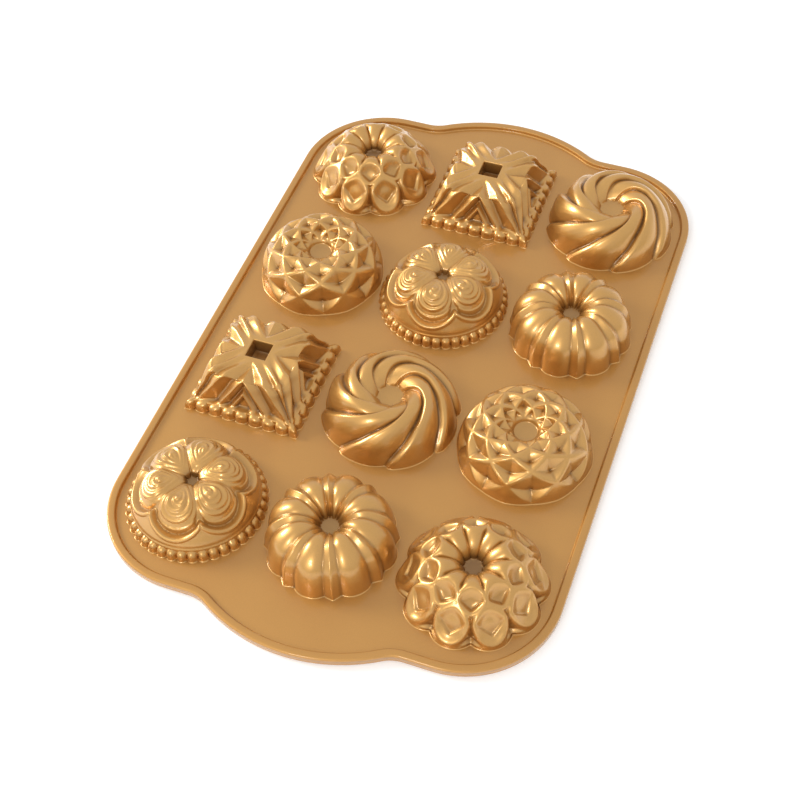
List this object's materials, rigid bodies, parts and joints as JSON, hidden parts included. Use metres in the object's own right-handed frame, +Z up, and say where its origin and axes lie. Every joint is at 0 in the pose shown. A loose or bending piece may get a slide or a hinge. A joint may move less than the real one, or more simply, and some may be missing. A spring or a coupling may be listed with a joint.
{
  "type": "mini ring cake pan",
  "caption": "Cast baking pan laid with its moulds up: small patterned ring cake moulds stand in rows on a rimmed deck with a rounded grip at each end.",
  "frame": {"origin": "centre of the pan's footprint, on the surface that it stands on", "axes": "+Z up out of the moulds' crowns, +Y along the pan from the near grip to the far one, +X across it"},
  "size_m": [0.1742, 0.2828, 0.0214],
  "materials": {
    "deck_coat": "matte gold non-stick coat with fine grain on cast aluminium",
    "mould_coat": "satin gold non-stick coat on cast aluminium"
  },
  "bodies": {
    "root": {"deck_plate": "deck_coat", "rim_lip": "deck_coat", "petal_mould_1": "mould_coat", "square_mould_1": "mould_coat", "swirl_mould_1": "mould_coat", "diamond_mould_1": "mould_coat", "rosette_mould_1": "mould_coat", "fluted_mould_1": "mould_coat", "square_mould_2": "mould_coat", "swirl_mould_2": "mould_coat", "diamond_mould_2": "mould_coat", "rosette_mould_2": "mould_coat", "fluted_mould_2": "mould_coat", "petal_mould_2": "mould_coat"}
  },
  "joints": []
}
